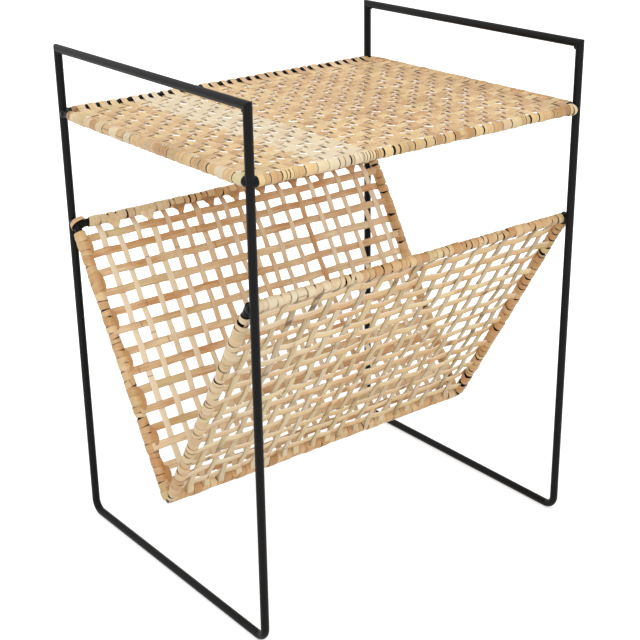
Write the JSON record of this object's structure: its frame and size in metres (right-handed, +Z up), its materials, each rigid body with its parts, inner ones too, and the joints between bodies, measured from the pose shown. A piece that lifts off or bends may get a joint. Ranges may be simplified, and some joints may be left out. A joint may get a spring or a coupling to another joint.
{
  "type": "magazine table",
  "caption": "Low side table on a welded rod frame with handle bars, a close woven rattan top and an open woven rattan V rack below for magazines.",
  "frame": {"origin": "on the floor, under the middle of the table", "axes": "+X from left to right, +Y from front to rear, +Z up"},
  "size_m": [0.4688, 0.382, 0.601],
  "materials": {
    "black_frame": "satin black powder coat on round steel rod",
    "rattan_top": "flattened natural rattan strip, satin, close plain weave",
    "rattan_rack": "narrow natural rattan strip, satin, open plain weave",
    "rattan_winding": "flat natural rattan ribbon wound round the rods"
  },
  "bodies": {
    "root": {"left_handle_bar": "black_frame", "right_handle_bar": "black_frame", "left_leg_frame": "black_frame", "right_leg_frame": "black_frame", "table_front_rail": "black_frame", "table_rear_rail": "black_frame", "table_left_rail": "black_frame", "table_right_rail": "black_frame", "rack_front_rail": "black_frame", "rack_rear_rail": "black_frame", "rack_left_vee_rod": "black_frame", "rack_right_vee_rod": "black_frame", "rack_bottom_rod": "black_frame", "table_lengthwise_strips": "rattan_top", "table_crosswise_strips": "rattan_top", "rack_front_verticals": "rattan_rack", "rack_front_horizontals": "rattan_rack", "rack_rear_verticals": "rattan_rack", "rack_rear_horizontals": "rattan_rack", "rack_front_rail_winding": "rattan_winding", "rack_rear_rail_winding": "rattan_winding", "rack_bottom_rod_winding": "rattan_winding", "rack_left_front_arm_winding": "rattan_winding", "rack_left_rear_arm_winding": "rattan_winding", "rack_right_front_arm_winding": "rattan_winding", "rack_right_rear_arm_winding": "rattan_winding"}
  },
  "joints": []
}
